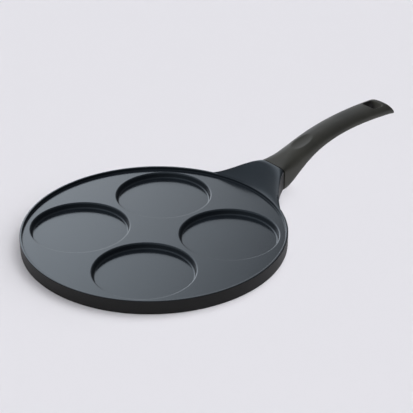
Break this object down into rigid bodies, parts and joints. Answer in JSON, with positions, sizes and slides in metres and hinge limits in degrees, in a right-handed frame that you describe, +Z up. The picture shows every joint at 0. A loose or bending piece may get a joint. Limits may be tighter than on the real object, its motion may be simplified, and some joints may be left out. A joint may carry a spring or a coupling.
{
  "type": "pancake pan",
  "caption": "Flat round frying pan with shallow round wells for small pancakes, a raised rim, a flared cast neck and a curved screwed-on handle with a hang hole.",
  "frame": {"origin": "centre of the base, on the hob that the pan stands on", "axes": "+X along the handle, +Z up out of the wells, +Y to the left of the handle as seen from above with the handle pointing right"},
  "size_m": [0.452, 0.26, 0.0583],
  "materials": {
    "non_stick_coat": "blue-black satin non-stick coat on die-cast aluminium, matt black outside",
    "induction_steel": "turned stainless steel",
    "phenolic": "moulded phenolic with a fine matt soft-touch coat",
    "zinc_steel": "bright zinc-plated steel"
  },
  "bodies": {
    "root": {"pan_body": "non_stick_coat", "base_plate": "induction_steel", "handle_grip": "phenolic", "handle_screw": "zinc_steel", "spring_washer": "zinc_steel", "flat_washer": "zinc_steel"}
  },
  "joints": []
}
